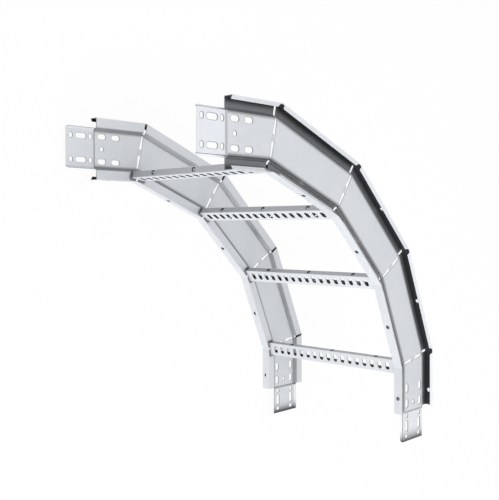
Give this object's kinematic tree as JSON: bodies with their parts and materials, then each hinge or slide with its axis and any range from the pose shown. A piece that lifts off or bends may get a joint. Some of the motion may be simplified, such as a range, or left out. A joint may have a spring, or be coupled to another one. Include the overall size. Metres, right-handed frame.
{
  "type": "cable ladder riser",
  "caption": "Vertical outside riser for cable ladder: two mitred channel side rails with slotted coupler tongues, joined by slotted channel rungs.",
  "frame": {"origin": "centre of the bounding box, on the floor that the lower rail's lips lie on", "axes": "+Z along the rungs from the lower rail to the upper, +X and +Y from the bend centre's corner towards the two outer flats; the rails' ends point to -X and to -Y"},
  "size_m": [0.83, 0.83, 0.5],
  "materials": {
    "rail_steel": "pale galvanised sheet steel, satin, faint spangle",
    "rung_steel": "pale galvanised sheet steel, satin, a little brighter on the slotted faces"
  },
  "bodies": {
    "root": {"upper_side_rail": "rail_steel", "lower_side_rail": "rail_steel", "first_rung": "rung_steel", "second_rung": "rung_steel", "third_rung": "rung_steel", "fourth_rung": "rung_steel"}
  },
  "joints": []
}
